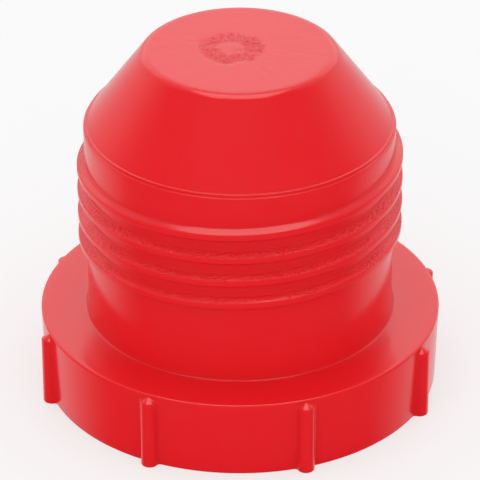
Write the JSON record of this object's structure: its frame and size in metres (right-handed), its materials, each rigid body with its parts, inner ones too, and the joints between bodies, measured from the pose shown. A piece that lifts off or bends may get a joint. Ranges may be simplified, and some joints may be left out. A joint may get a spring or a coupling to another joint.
{
  "type": "threaded protection plug",
  "caption": "One-piece moulded plastic plug with a ribbed round head, a short coarse thread and a tapered nose, hollow from the head side.",
  "frame": {"origin": "on the plug's axis, in the plane of the head's open rim, which it rests on", "axes": "+Z along the plug's axis, from the rim to the nose; +X passes through the middle of a grip rib"},
  "size_m": [0.035, 0.035, 0.0304],
  "materials": {
    "plug_plastic": "semi-gloss moulded red polyethylene"
  },
  "bodies": {
    "root": {"threaded_plug": "plug_plastic"}
  },
  "joints": []
}
